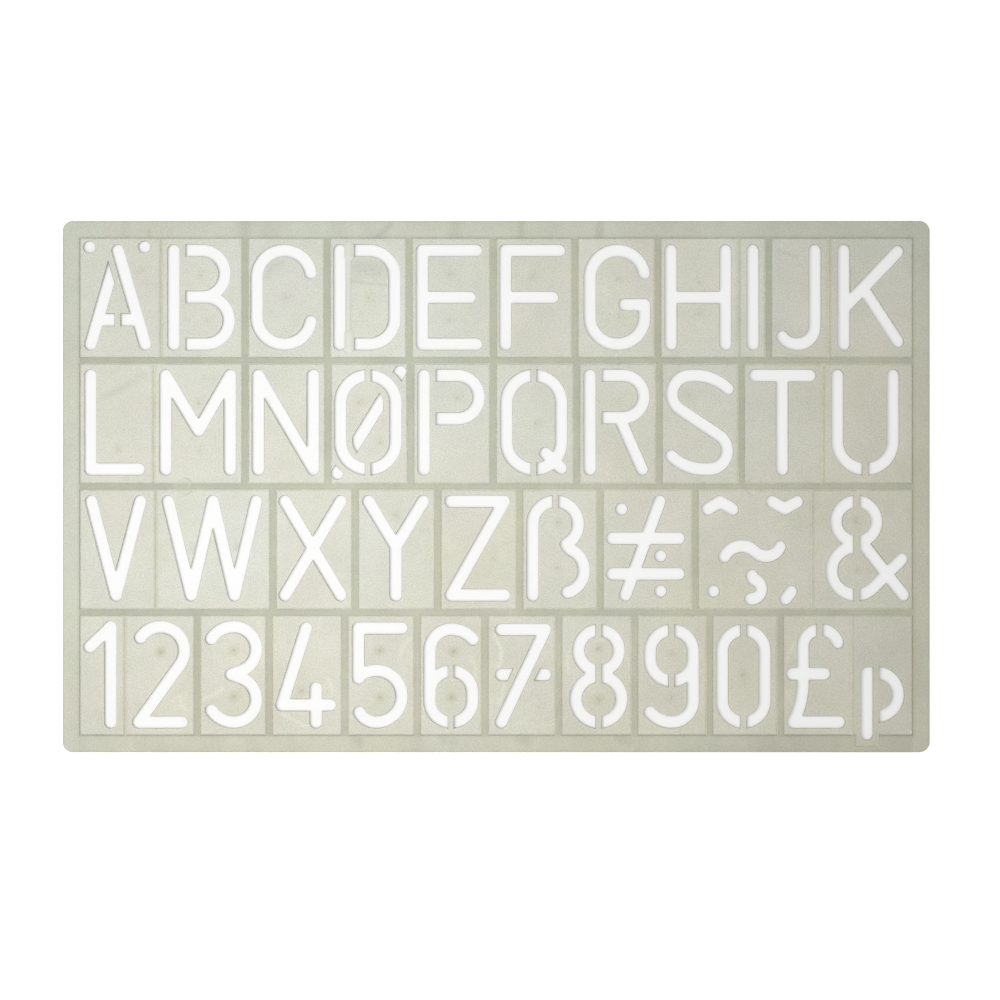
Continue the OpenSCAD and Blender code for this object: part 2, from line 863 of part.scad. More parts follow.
// The ribs and low lines between the cells of a row. A character that reaches into one cuts it
module column_ribs(row) {
  color(RIB_COLOUR) difference() {
    intersection() {
      for (i = [1 : len(ROWS[row]) - 1]) {
        line = end_of(ROWS[row][i - 1]) == "line";
        translate([cell_left(row, i), panel_foot(row) + panel_h / 2, 0]) rotate(90) {
          if (line) leaning_bar(panel_h + 2 * OVER, line_w, line_rise, line_rise);
          else leaning_bar(panel_h + 2 * OVER, column_rib_w, panel_low, lean);
        }
      }
      space_of_row(row);
    }
    gate_marks();
    for (i = [0 : len(ROWS[row]) - 1]) if (crosses_rib(row, i)) character_cut(row, i);
  }
}

// The stroke through the letter O is the one slot that runs into a rib
function crosses_rib(row, i) = name_of(ROWS[row][i]) == "o_slash";

// The step in the bottom border that the tail of the small p's panel fills
module tail_step() {
  row = ROW_COUNT - 1;
  i = len(ROWS[row]) - 1;
  reach = tail_low();
  translate([cell_left(row, i) + room_of(ROWS[row][i]) - tail_gap, reach])
    square([stroke_w + 2 * tail_gap, panel_foot(row) - reach]);
}

function tail_low() = letter_foot(ROW_COUNT - 1) - to_hundredths(TAIL_DROP * unit) - tail_gap;

// Panel of one cell, thinner than the ribs round it and cut through with its character
module panel(row, i) {
  left = panel_left(row, i);
  color(PANEL_COLOUR) difference() {
    translate([0, 0, panel_low]) linear_extrude(panel_t) difference() {
      union() {
        translate([left, panel_foot(row)]) square([panel_right(row, i) - left, panel_h]);
        if (name_of(ROWS[row][i]) == "small_p") tail_step();
      }
      placed_character(row, i);
    }
    for (mark = marks_of(ROWS[row][i])) at_character(row, i) translate(mark * unit) pin_mark();
  }
}

// Shallow round hollow in the upper face of a panel
module pin_mark() {
  radius = (pin_mark_d * pin_mark_d / 4 + pin_mark_depth * pin_mark_depth) / (2 * pin_mark_depth);
  translate([0, 0, panel_top + radius - pin_mark_depth]) sphere(radius);
}

// Beads laid on the panel of the letter D where its bridges have been mended
module d_mended_bead() {
  row = 0;
  i = 3;
  color(BEAD_COLOUR) at_character(row, i) for (bead = d_beads()) {
    place = bead[0] * unit;
    translate([place.x, place.y, panel_top]) bead(bead[1] * unit, bead[2] * unit, bead[3]);
  }
}

left_border();
right_border();
top_border();
bottom_border();
row_rib(0);  // upper_row_rib
row_rib(1);  // middle_row_rib
row_rib(2);  // lower_row_rib
d_mended_bead();
for (row = [0 : ROW_COUNT - 1]) {
  column_ribs(row);
}
for (row = [0 : ROW_COUNT - 1]) for (i = [0 : len(ROWS[row]) - 1]) {
  panel(row, i);
}
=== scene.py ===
"""Looks of the lettering stencil: each moulded region with softened edges and its own plastic,
and the floor, lamp and camera of the photograph's view. All lengths are in metres."""

import math
from functools import cached_property

import bmesh
import bpy
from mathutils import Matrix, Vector
from mathutils.bvhtree import BVHTree


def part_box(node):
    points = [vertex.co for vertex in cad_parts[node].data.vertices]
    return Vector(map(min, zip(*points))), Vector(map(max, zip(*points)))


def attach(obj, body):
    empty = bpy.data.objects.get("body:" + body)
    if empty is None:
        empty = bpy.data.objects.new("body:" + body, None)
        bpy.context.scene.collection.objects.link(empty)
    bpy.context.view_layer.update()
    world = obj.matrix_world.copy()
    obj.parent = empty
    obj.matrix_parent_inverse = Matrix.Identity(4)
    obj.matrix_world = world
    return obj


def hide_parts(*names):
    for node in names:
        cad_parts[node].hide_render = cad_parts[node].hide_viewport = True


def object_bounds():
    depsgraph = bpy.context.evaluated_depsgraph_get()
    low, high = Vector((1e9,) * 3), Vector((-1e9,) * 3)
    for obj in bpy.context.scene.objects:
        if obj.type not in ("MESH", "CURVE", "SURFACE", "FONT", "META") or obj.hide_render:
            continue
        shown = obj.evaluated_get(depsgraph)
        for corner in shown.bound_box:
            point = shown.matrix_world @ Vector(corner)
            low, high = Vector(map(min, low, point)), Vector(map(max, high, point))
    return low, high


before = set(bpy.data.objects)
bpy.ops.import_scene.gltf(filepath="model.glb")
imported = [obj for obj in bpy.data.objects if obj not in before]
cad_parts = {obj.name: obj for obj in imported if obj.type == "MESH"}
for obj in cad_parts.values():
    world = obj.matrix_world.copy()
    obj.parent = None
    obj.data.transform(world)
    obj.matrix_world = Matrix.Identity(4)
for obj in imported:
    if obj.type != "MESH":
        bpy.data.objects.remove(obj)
cad_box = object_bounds()

MM = 0.001


def nodes_of(prefix):
    return sorted(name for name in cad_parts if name.startswith(prefix))


# Regions of the moulding
BORDERS = ["left_border", "right_border", "top_border", "bottom_border"]
MIDDLE_RIB = "middle_row_rib"
PLAIN_RIB = "lower_row_rib"
ROW_RIBS = ["upper_row_rib", MIDDLE_RIB, PLAIN_RIB]
COLUMN_RIBS = nodes_of("column_ribs_")
PANELS = nodes_of("panel_")
BEAD = "d_mended_bead"

# Shapes. Gaps under TOUCH count as closed, faces look at each other where the product of their
# normals is under OPPOSITE, and a face is upright where its normal rises by less than UPRIGHT
WELD = 1e-7
TOUCH = 3e-6
OPPOSITE = -0.99
UPRIGHT = 0.1
FLAT_ANGLE = 0.01
SHARP_ANGLE = math.radians(35)
# How far edges are rounded. An edge of a panel stays sharp where its rounding would take more
# than ROUND_SHARE of the way to the panel's side
SLOT_ROUND = 0.28 * MM
RIM_ROUND = 0.3 * MM
ROUND_SHARE = 0.8

# Looks: the cooler and the warmer colour in linear light, how far clouds and grain change them,
# the painted light that scales them on upright faces, the painted light and shade that scales them
# on slanting faces, and how much light scatters inside
BORDER_LOOK = {
    "cool": (0.565, 0.584, 0.488), "warm": (0.572, 0.562, 0.450),
    "cloud": 0.04, "grain": 0.13, "wall_painted_light": 1.6, "slope_painted_shading": 0.97, "scatter": 0.0,
}
RIB_LOOK = {
    "cool": (0.448, 0.474, 0.368), "warm": (0.488, 0.486, 0.380),
    "cloud": 0.06, "grain": 0.13, "wall_painted_light": 1.45, "slope_painted_shading": 1.45, "scatter": 0.0,
}
PANEL_LOOK = {
    "cool": (0.670, 0.680, 0.606), "warm": (0.670, 0.660, 0.556),
    "cloud": 0.03, "grain": 0.13, "wall_painted_light": 1.45, "slope_painted_shading": 0.68, "scatter": 0.8,
}
BEAD_LOOK = {
    "cool": (0.705, 0.715, 0.645), "warm": (0.700, 0.700, 0.620),
    "cloud": 0.03, "grain": 0.05, "wall_painted_light": 1.4, "slope_painted_shading": 1.35, "scatter": 0.0,
}
SCATTER_DEPTH = 0.6 * MM
SCATTER_RADII = (1.0, 1.0, 0.9)
PLAIN = (1.0, 1.0, 1.0)
ROSY = (1.008, 0.998, 1.013)
LEAFY = (0.992, 1.002, 0.987)
# The olive painted shade on rounded edges
EDGE_PAINTED_SHADE = (1.0, 0.985, 0.82)
# The share of the warmer colour at the two ends of WARM_REACH, which runs along WARM_WAY
WARM_WAY = (0.5, -1.0, 0.0)
WARM_REACH = (-80 * MM, 80 * MM)
WARM_SHARES = (0.1, 0.9)
WARM_PATCHES = 0.35
# How far a normal rises, from 0 on an upright face to 1 on a level one, where the painted light and shade
# change
WALL_TO_SLOPE = (0.0, 0.35)
SLOPE_TO_LEVEL = (0.75, 0.99)
ROUNDED_FROM = (0.2, 0.5)
ROUNDED_TO = (0.8, 0.98)
# Faces that look left, to the lamp, are scaled by this painted shade
LAMP_SIDE_PAINTED_SHADE = 0.78
ROUGHNESS = 0.40
GRAIN_ROUGHNESS = 0.16
GLOSS = 0.3
REFRACTION = 1.49
BUMP = 0.35
BUMP_HEIGHT = 0.03 * MM

# Textures, as (waves in a metre, detail, shift), and the noise between which each one changes
CLOUDS = (55, 3.0, 0.0)
MOTTLE = (330, 3.0, 3.1)
CLOUD_RANGE = (0.25, 0.75)
GRAIN = (2600, 2.0, 7.7)
GRAIN_RANGE = (0.2, 0.8)
PATCHES = (24, 2.0, 11.0)
PATCH_RANGE = (0.3, 0.7)
BLUSH = (75, 2.0, 17.0)
BLUSH_RANGE = (0.35, 0.65)
# Flow marks and scratches are drawn out along the axes and turned
FLOW = (110, 1.0, 2.0)
FLOW_RANGE = (0.52, 0.68)
FLOW_STRETCH = (1, 9, 1)
FLOW_TURN = 0.08
FLOW_SHADE = 0.045
SCRATCHES = [
    {"texture": (900, 3.0, 1.3), "range": (0.70, 0.78), "stretch": (40, 1, 1), "turn": 0.5},
    {"texture": (800, 3.0, 5.3), "range": (0.71, 0.79), "stretch": (45, 1, 1), "turn": -0.9},
]
SCRATCH_PALE = 0.03
SCRATCH_DEPTH = 0.5

# Painted shade along the sides of the regions, and how far a rib's sides take the panels' tone
BORDER_LINE = 1.1 * MM
FIELD_SIDE_PAINTED_SHADE = 0.14
RIM_SIDE_PAINTED_SHADE = 0.07
PANEL_LINE = 0.5 * MM
PANEL_SIDE_PAINTED_SHADE = 0.05
RIB_FADE = 0.38 * MM
RIB_FADE_SHARE = 0.62
RIB_LINE = 0.7 * MM
RIB_LINE_PAINTED_SHADE = 0.05
# The ribs' tone at the left and from the middle on
LEFT_RIBS_AT = -100 * MM
LEFT_RIB_TONE = 0.95
RIB_TONE = 1.02
# The low lines' tone, which fades out between LINE_TOP and RIB_TOP under the top of a rib
LINE_TONE = 1.17
LINE_TOP = 0.25 * MM
RIB_TOP = 0.05 * MM
# The rib through a gate mark: half its width in radii of the mark, how far its sides run out,
# and its share of the panels' paleness
GATE_RIB = 0.42
GATE_RIB_OUT = 0.62
GATE_RIB_SHARE = 0.12
# How far a gate mark's edge runs out, and how near its tip points lie, in radii of the mark
GATE_EDGE = 1.1
GATE_TIP = 0.05

# How dark the painted shade is round the hollows that the ejector pins left, with those that differ by name
PIN_PAINTED_SHADE = 0.07
PIN_PAINTED_SHADES = {
    "panel_z": 0.03,
    "panel_l": 0.09,
    "panel_ampersand": 0.08,
    "panel_2": 0.20,
    "panel_3": 0.14,
    "panel_4": 0.14,
    "panel_5": 0.15,
    "panel_6": 0.18,
    "panel_8": 0.14,
    "panel_0": 0.09,
}
# How much of that painted shade red, green and blue get, and where its halo and core fade out
PIN_PAINTED_SHADE_TINT = (1.0, 1.0, 1.5)
PIN_HALO = (0.3 * MM, 2.4 * MM)
PIN_CORE = (0.2 * MM, 0.7 * MM)
HALO_SHARE = 0.8
# The points of one hollow lie within this of each other, and this clear of the panel's faces
PIN_REACH = 1.3 * MM
OVER_BACK = 0.1 * MM
UNDER_FACE = 0.02 * MM

# Marks of the moulding that show in the plastic, and one broad painted shade on the bottom border, as (half
# width, strength, points) in millimetres.
# A strength over 0 is paler than the plastic round it, BROAD is a soft change of tone, and a mark
# ends at MARK_FADE half widths
BROAD = 30
MARK_FADE = 1.3
MARKS_AND_PAINTED_SHADE = {
    "left_border": [(BROAD, 0.05, [(-120.0, -45.0), (-120.0, -75.0)])],
    "panel_a_umlaut": [(1.0, -0.06, [(-101.6, 60.9), (-98.7, 62.0)])],
    "panel_c": [(1.1, -0.08, [(-65.1, 59.7), (-63.4, 62.5), (-60.5, 63.6)])],
    "panel_d": [
        (BROAD, 0.05, [(-35.0, 40.0), (-34.0, 40.0)]),
        (3.9, -0.1, [(-40.0, 62.2), (-33.0, 61.6)]),
        (0.7, -0.09, [(-42.0, 58.3), (-30.6, 57.0)]),
    ],
    "panel_g": [(BROAD, 0.03, [(33.0, 54.0), (36.0, 54.0)])],
    "panel_h": [(BROAD, 0.05, [(55.0, 54.0), (60.0, 54.0)])],
    "panel_i": [(BROAD, 0.05, [(74.0, 54.0), (75.0, 54.0)])],
    "panel_j": [(0.9, -0.07, [(80.4, 66.7), (85.2, 65.3)])],
    "panel_l": [(1.6, -0.06, [(-110.7, 25.7), (-105.3, 28.3), (-99.9, 31.9)])],
    "panel_2": [
        (0.75, 0.08, [(-89.9, -59.5), (-89.3, -61.8), (-88.2, -63.2)]),
        (0.7, 0.06, [(-92.7, -61.2), (-91.6, -60.7)]),
    ],
    "panel_3": [
        (0.8, 0.09, [(-82.8, -60.1), (-79.7, -59.2), (-77.7, -57.2)]),
        (0.8, 0.06, [(-67.5, -38.0), (-66.4, -43.1), (-66.6, -50.4)]),
    ],
    "panel_4": [
        (0.8, 0.09, [(-60.4, -64.6), (-57.3, -66.3), (-54.1, -68.0)]),
        (0.8, 0.08, [(-47.9, -54.4), (-46.5, -56.7), (-46.7, -59.2)]),
    ],
    "panel_5": [(0.8, 0.08, [(-24.5, -43.1), (-26.5, -45.4), (-27.1, -47.7)])],
    "panel_6": [(0.8, 0.07, [(-7.2, -48.3), (-6.1, -50.6), (-5.5, -54.0)])],
    "panel_7": [
        (0.8, 0.11, [(-0.5, -42.4), (1.5, -46.1), (1.2, -50.1), (0.6, -51.2)]),
        (0.8, 0.09, [(2.3, -56.3), (1.5, -59.7), (0.6, -61.4)]),
    ],
    "panel_8": [(0.8, 0.07, [(20.4, -47.9), (20.2, -52.4)])],
    "panel_pound": [
        (0.8, 0.08, [(84.3, -44.8), (83.2, -47.4), (82.6, -49.4)]),
        (0.8, 0.07, [(82.6, -58.4), (83.2, -59.9), (83.8, -61.3)]),
    ],
    "panel_small_p": [
        (0.35, 0.36, [(117.6, -69.6), (117.7, -69.6)]),
        (4.0, -0.08, [(103.5, -72.5), (107.5, -72.5)]),
        (BROAD, -0.04, [(110.0, -50.0), (110.1, -50.0)]),
    ],
    "top_border": [
        (1.4, -0.13, [(-30.0, 74.2), (-33.5, 70.8)]),
        (2.8, -0.11, [(-11.5, 75.4), (-11.5, 70.4)]),
        (1.3, -0.11, [(7.1, 75.4), (7.1, 70.4)]),
        (1.7, -0.13, [(29.5, 75.4), (29.0, 70.4)]),
        (2.6, -0.09, [(-71.0, 75.4), (-71.0, 70.4)]),
        (0.9, -0.09, [(-98.4, 72.5), (-98.4, 70.9)]),
    ],
    "bottom_border": [
        # Painted shade: darker towards the bottom border's right end
        (50, -0.08, [(90.0, -73.0), (110.0, -73.0)]),
        (1.8, -0.11, [(-40.3, -71.2), (-38.8, -72.4)]),
        (2, -0.11, [(6.4, -71.2), (8.6, -71.8)]),
        (1.8, -0.09, [(35.0, -71.4), (37.5, -72.2)]),
        (1.6, -0.07, [(-12.0, -72.5), (-15.0, -71.6)]),
    ],
}

# Floor, light and camera
FLOOR_SIZE = 6
FLOOR_GREY = 0.60
SLOT_GLOW = 0.34
GROUND_GLOW = 0.76
GLOW_EDGE = (1 * MM, 2 * MM)
WORLD_LIGHT = 0.41
BACKDROP = 1.0
KEY_AT = (-0.084, -0.020, 0.30)
KEY_SIZE = 0.2
KEY_POWER = 0.68
CAMERA_AT = (1.1 * MM, -3.8 * MM, 0.422)
SENSOR = 36
LENS = 53.33


class Tree:
    """Short ways to add and join shader nodes."""

    def __init__(self, node_tree):
        self.nodes = node_tree.nodes
        self.links = node_tree.links
        self.nodes.clear()

    @cached_property
    def place(self):
        return self.add("ShaderNodeTexCoord").outputs["Object"]

    @cached_property
    def normal(self):
        return self.add("ShaderNodeNewGeometry").outputs["Normal"]

    def add(self, kind, **settings):
        node = self.nodes.new(kind)
        for key, value in settings.items():
            setattr(node, key, value)
        return node

    def feed(self, socket, value):
        if isinstance(value, bpy.types.NodeSocket):
            self.links.new(value, socket)
        else:
            socket.default_value = value

    def finish(self, kind, shader):
        self.links.new(shader, self.add(kind).inputs["Surface"])

    def math(self, operation, *values):
        node = self.add("ShaderNodeMath", operation=operation)
        for socket, value in zip(node.inputs, values):
            self.feed(socket, value)
        return node.outputs[0]

    def fold(self, operation, values):
        """One value out of several, joined one after another."""
        result = values[0]
        for value in values[1:]:
            result = self.math(operation, result, value)
        return result

    def vector(self, operation, first, second):
        node = self.add("ShaderNodeVectorMath", operation=operation)
        self.feed(node.inputs[0], first)
        self.feed(node.inputs["Scale"] if operation == "SCALE" else node.inputs[1], second)
        return node.outputs["Value" if operation in ("DOT_PRODUCT", "DISTANCE") else "Vector"]

    def span(self, value, low, high, at_low, at_high, blend="SMOOTHSTEP"):
        """Carries low..high to at_low..at_high."""
        node = self.add("ShaderNodeMapRange", interpolation_type=blend)
        for socket, number in zip(node.inputs, (value, low, high, at_low, at_high)):
            self.feed(socket, number)
        return node.outputs[0]

    def noise(self, waves, detail, shift, stretch=(1, 1, 1), turn=0.0):
        """Noise with that many waves a metre, drawn out along the axes by stretch."""
        mapping = self.add("ShaderNodeMapping")
        self.feed(mapping.inputs["Vector"], self.place)
        mapping.inputs["Location"].default_value = (shift, shift, shift)
        mapping.inputs["Rotation"].default_value = (0, 0, turn)
        mapping.inputs["Scale"].default_value = [waves / s for s in stretch]
        noise = self.add("ShaderNodeTexNoise")
        self.feed(noise.inputs["Vector"], mapping.outputs[0])
        noise.inputs["Scale"].default_value = 1.0
        noise.inputs["Detail"].default_value = detail
        return noise.outputs["Fac"]

    def mix(self, share, first, second):
        """Blends two colours. A Mix node's colours are its inputs 6 and 7, and its output 2."""
        node = self.add("ShaderNodeMix", data_type="RGBA")
        self.feed(node.inputs["Factor"], share)
        for socket, colour in ((node.inputs[6], first), (node.inputs[7], second)):
            self.feed(socket, colour if isinstance(colour, bpy.types.NodeSocket) else (*colour, 1.0))
        return node.outputs[2]

    def axis(self, vector, index):
        node = self.add("ShaderNodeSeparateXYZ")
        self.feed(node.inputs[0], vector)
        return node.outputs[index]

    def inside(self, index, low, high):
        """How far inside two limits along an axis a point lies."""
        away = self.math("SUBTRACT", self.axis(self.place, index), (low + high) / 2)
        return self.math("SUBTRACT", (high - low) / 2, self.math("ABSOLUTE", away))

    def inside_box(self, low, high):
        """How far inside the four upright sides of a box a point lies."""
        return self.fold("MINIMUM", [self.inside(index, low[index], high[index]) for index in range(2)])

    def distance(self, point):
        """Distance from the line through a point, square to the sheet."""
        flat = self.vector("MULTIPLY", self.place, (1, 1, 0))
        return self.vector("DISTANCE", flat, (point[0], point[1], 0))

    def line_distance(self, points):
        """Distance from the straight runs between the points, square to the sheet."""
        flat = self.vector("MULTIPLY", self.place, (1, 1, 0))
        gaps = []
        for start, end in zip(points, points[1:]):
            start = Vector((*start, 0))
            run = Vector((*end, 0)) - start
            away = self.vector("SUBTRACT", flat, start)
            share = self.vector("DOT_PRODUCT", away, run / run.length_squared)
            share = self.math("MINIMUM", self.math("MAXIMUM", share, 0.0), 1.0)
            gaps.append(self.vector("DISTANCE", away, self.vector("SCALE", run, share)))
        return self.fold("MINIMUM", gaps)


def tinted(tree, look):
    """The plastic's colour, cooler or warmer by place and in patches."""
    across = tree.vector("DOT_PRODUCT", tree.place, WARM_WAY)
    lower = tree.span(across, *WARM_REACH, *WARM_SHARES)
    patches = tree.span(tree.noise(*PATCHES), *PATCH_RANGE, -WARM_PATCHES, WARM_PATCHES)
    return tree.mix(tree.math("ADD", lower, patches), look["cool"], look["warm"])


def scratch_lines(tree):
    """1 where a faint scratch runs, else 0."""
    lines = []
    for scratch in SCRATCHES:
        noise = tree.noise(*scratch["texture"], scratch["stretch"], scratch["turn"])
        lines.append(tree.span(noise, *scratch["range"], 0.0, 1.0))
    return tree.fold("MAXIMUM", lines)


def mottled(tree, look, grain):
    """Factors of the colour for clouds and grain."""
    cloud, speckle = look["cloud"], look["grain"]
    return [
        tree.span(tree.noise(*CLOUDS), *CLOUD_RANGE, 1 - cloud, 1 + cloud),
        tree.span(tree.noise(*MOTTLE), *CLOUD_RANGE, 1 - cloud / 2, 1 + cloud / 2),
        tree.span(grain, *GRAIN_RANGE, 1 - speckle, 1 + speckle),
    ]


def painted_face_light_shade(tree, look, rise):
    """Painted light and shade: factors of the colour by the way a face is turned, on upright and slanting
    faces and on faces that look left, to the lamp.
    """
    return [
        tree.span(rise, *WALL_TO_SLOPE, look["wall_painted_light"], look["slope_painted_shading"]),
        tree.span(rise, *SLOPE_TO_LEVEL, 1.0, 1 / look["slope_painted_shading"]),
        tree.span(tree.axis(tree.normal, 0), -1.0, 0.0, LAMP_SIDE_PAINTED_SHADE, 1.0),
    ]


def painted_edge_shade(tree, rise):
    """Painted shade, tinted olive, on rounded edges, which neither upright nor level faces get."""
    leaves_wall = tree.span(rise, *ROUNDED_FROM, 0.0, 1.0)
    before_level = tree.span(rise, *ROUNDED_TO, 1.0, 0.0)
    return tree.mix(tree.math("MINIMUM", leaves_wall, before_level), PLAIN, EDGE_PAINTED_SHADE)


def plastic(name, look, extras=(), spots=(), panel_share=None):
    """Moulded, slightly translucent plastic with a fine grain, cloudy flow and faint scratches.
    Extras give factors of its colour, spots are painted shade round pin hollows as (point, depth), and
    panel_share says how far the colour is that of the panels. Each plastic also gets painted light and
    shade by the way each face is turned, and painted olive shade on rounded edges."""
    material = bpy.data.materials.new(name)
    material.use_nodes = True
    tree = Tree(material.node_tree)
    grain = tree.noise(*GRAIN)
    scratches = scratch_lines(tree)
    rise = tree.math("ABSOLUTE", tree.axis(tree.normal, 2))

    colour = tinted(tree, look)
    if panel_share:
        colour = tree.mix(panel_share(tree), colour, tinted(tree, PANEL_LOOK))
    factors = mottled(tree, look, grain) + painted_face_light_shade(tree, look, rise) + [extra(tree) for extra in extras]
    factors.append(tree.math("MULTIPLY_ADD", scratches, SCRATCH_PALE, 1.0))
    colour = tree.vector("SCALE", colour, tree.fold("MULTIPLY", factors))
    colour = tree.vector("MULTIPLY", colour, painted_edge_shade(tree, rise))
    for point, depth in spots:
        colour = painted_pin_shade(tree, colour, point, depth)
    blush = tree.span(tree.noise(*BLUSH), *BLUSH_RANGE, 0.0, 1.0)
    rosy, leafy = (tree.vector("MULTIPLY", colour, tone) for tone in (ROSY, LEAFY))

    bump = tree.add("ShaderNodeBump")
    bump.inputs["Strength"].default_value = BUMP
    bump.inputs["Distance"].default_value = BUMP_HEIGHT
    tree.feed(bump.inputs["Height"], tree.math("MULTIPLY_ADD", scratches, -SCRATCH_DEPTH, grain))

    shader = tree.add("ShaderNodeBsdfPrincipled")
    tree.feed(shader.inputs["Base Color"], tree.mix(blush, rosy, leafy))
    tree.feed(shader.inputs["Roughness"], tree.math("MULTIPLY_ADD", grain, GRAIN_ROUGHNESS, ROUGHNESS))
    tree.feed(shader.inputs["Normal"], bump.outputs[0])
    shader.inputs["IOR"].default_value = REFRACTION
    shader.inputs["Specular IOR Level"].default_value = GLOSS
    shader.inputs["Subsurface Weight"].default_value = look["scatter"]
    shader.inputs["Subsurface Radius"].default_value = SCATTER_RADII
    shader.inputs["Subsurface Scale"].default_value = SCATTER_DEPTH
    tree.finish("ShaderNodeOutputMaterial", shader.outputs[0])
    return material


def painted_pin_shade(tree, colour, point, depth):
    """Painted shade, olive, round the hollow that an ejector pin left."""
    away = tree.distance(point)
    halo = tree.span(away, *PIN_HALO, HALO_SHARE, 0.0)
    core = tree.span(away, *PIN_CORE, 1 - HALO_SHARE, 0.0)
    darkest = [1 - depth * part for part in PIN_PAINTED_SHADE_TINT]
    return tree.vector("MULTIPLY", colour, tree.mix(tree.math("ADD", halo, core), PLAIN, darkest))


def mark(half_width, strength, points):
    """A paler or darker mark in the plastic, fading out over its width; the same draws the broad painted
    shade on the bottom border.
    """
    def factor(tree):
        places = [(x * MM, y * MM) for x, y in points]
        reach = MARK_FADE * half_width * MM
        return tree.span(tree.line_distance(places), 0.0, reach, 1 + strength, 1.0)
    return factor


def marks_and_painted_shade_on(node):
    return [mark(*values) for values in MARKS_AND_PAINTED_SHADE.get(node, [])]


def panel_painted_shade(node):
    """Painted shade in a line along the sides of a panel, where it meets thicker plastic."""
    def factor(tree):
        return tree.span(tree.inside_box(*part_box(node)), 0.0, PANEL_LINE, 1 - PANEL_SIDE_PAINTED_SHADE, 1.0)
    return factor


def border_painted_shade(tree):
    """Painted shade: the borders are a little darker along the panels' field and along the rim."""
    low = (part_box("left_border")[1].x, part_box("bottom_border")[1].y)
    high = (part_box("right_border")[0].x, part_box("top_border")[0].y)
    from_field = tree.math("MULTIPLY", tree.inside_box(low, high), -1.0)
    inner = tree.span(from_field, 0.0, BORDER_LINE, 1 - FIELD_SIDE_PAINTED_SHADE, 1.0)
    outer = tree.span(tree.inside_box(*cad_box), 0.0, BORDER_LINE, 1 - RIM_SIDE_PAINTED_SHADE, 1.0)
    return tree.math("MULTIPLY", inner, outer)


def upright_flow(tree):
    """Darker upright flow marks, as plastic leaves where it has to squeeze along a thick edge."""
    return tree.span(tree.noise(*FLOW, FLOW_STRETCH, FLOW_TURN), *FLOW_RANGE, 1.0, 1 - FLOW_SHADE)


def thin_is_pale(tree):
    """The low lines are thinner than the ribs, so more light passes them."""
    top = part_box(PLAIN_RIB)[1].z
    return tree.span(tree.axis(tree.place, 2), top - LINE_TOP, top - RIB_TOP, LINE_TONE, 1.0)


def bars_of(node):
    """Low and high x of each bar of a row's column ribs, or low and high y of a row rib."""
    if node in ROW_RIBS:
        low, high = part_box(node)
        middle = (low.y + high.y) / 2
        plain_low, plain_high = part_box(PLAIN_RIB)
        half = (plain_high.y - plain_low.y) / 2
        return [[middle - half, middle + half]]
    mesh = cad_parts[node].data
    spans = []
    for polygon in mesh.polygons:
        places = [mesh.vertices[index].co.x for index in polygon.vertices]
        spans.append([min(places), max(places)])
    spans.sort()
    bars = [spans[0]]
    for low, high in spans[1:]:
        if low <= bars[-1][1] + TOUCH:
            bars[-1][1] = max(bars[-1][1], high)
        else:
            bars.append([low, high])
    return bars


def rib_depth(tree, node):
    """How far inside the long sides of a rib a point lies."""
    index = 1 if node in ROW_RIBS else 0
    return tree.fold("MAXIMUM", [tree.inside(index, low, high) for low, high in bars_of(node)])


def rib_painted_shade_and_tone(node):
    """Painted shade in a line along each side of a rib, and a rib tone a little darker at the sheet's left.
    """
    def factor(tree):
        line = tree.span(rib_depth(tree, node), RIB_FADE, RIB_LINE, 1 - RIB_LINE_PAINTED_SHADE, 1.0)
        tone = tree.span(tree.axis(tree.place, 0), LEFT_RIBS_AT, 0.0, LEFT_RIB_TONE, RIB_TONE)
        return tree.math("MULTIPLY", line, tone)
    return factor


def gate_share(tree):
    """How far the plastic is as pale as the panels: in the gate marks, but for the rib through them."""
    low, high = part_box(MIDDLE_RIB)
    radius = (high.y - low.y) / 2
    across = (low.y + high.y) / 2
    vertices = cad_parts[MIDDLE_RIB].data.vertices
    tips = [vertex.co.x for vertex in vertices if vertex.co.y > high.y - GATE_TIP * radius]
    beside = tree.math("ABSOLUTE", tree.math("SUBTRACT", tree.axis(tree.place, 1), across))
    outside_rib = tree.span(beside, GATE_RIB * radius, GATE_RIB_OUT * radius, GATE_RIB_SHARE, 1.0)
    near = [
        tree.span(tree.distance((x, across)), radius, GATE_EDGE * radius, 1.0, 0.0)
        for x in (min(tips), max(tips))
    ]
    return tree.math("MULTIPLY", tree.fold("MAXIMUM", near), outside_rib)


def rib_share(node):
    """How far the plastic of a rib is as pale as the panels: along its long sides and in the gate marks."""
    def share(tree):
        fade = tree.span(rib_depth(tree, node), 0.0, RIB_FADE, RIB_FADE_SHARE, 0.0)
        return tree.math("MAXIMUM", fade, gate_share(tree)) if node == MIDDLE_RIB else fade
    return share


def pin_marks(node):
    """Middles of the round hollows in a panel's upper face."""
    low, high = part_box(node)
    hollows = []
    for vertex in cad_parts[node].data.vertices:
        if low.z + OVER_BACK < vertex.co.z < high.z - UNDER_FACE:
            near = [hollow for hollow in hollows if (hollow[0] - vertex.co).length < PIN_REACH]
            if near:
                near[0].append(vertex.co.copy())
            else:
                hollows.append([vertex.co.copy()])
    return [sum(hollow, Vector()) / len(hollow) for hollow in hollows]


def all_faces():
    """A search tree over the faces of all CAD nodes, and the node of each face."""
    points, faces, owners = [], [], []
    for name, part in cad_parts.items():
        start = len(points)
        points += [vertex.co.copy() for vertex in part.data.vertices]
        for polygon in part.data.polygons:
            faces.append([start + index for index in polygon.vertices])
            owners.append(name)
    return BVHTree.FromPolygons(points, faces), owners


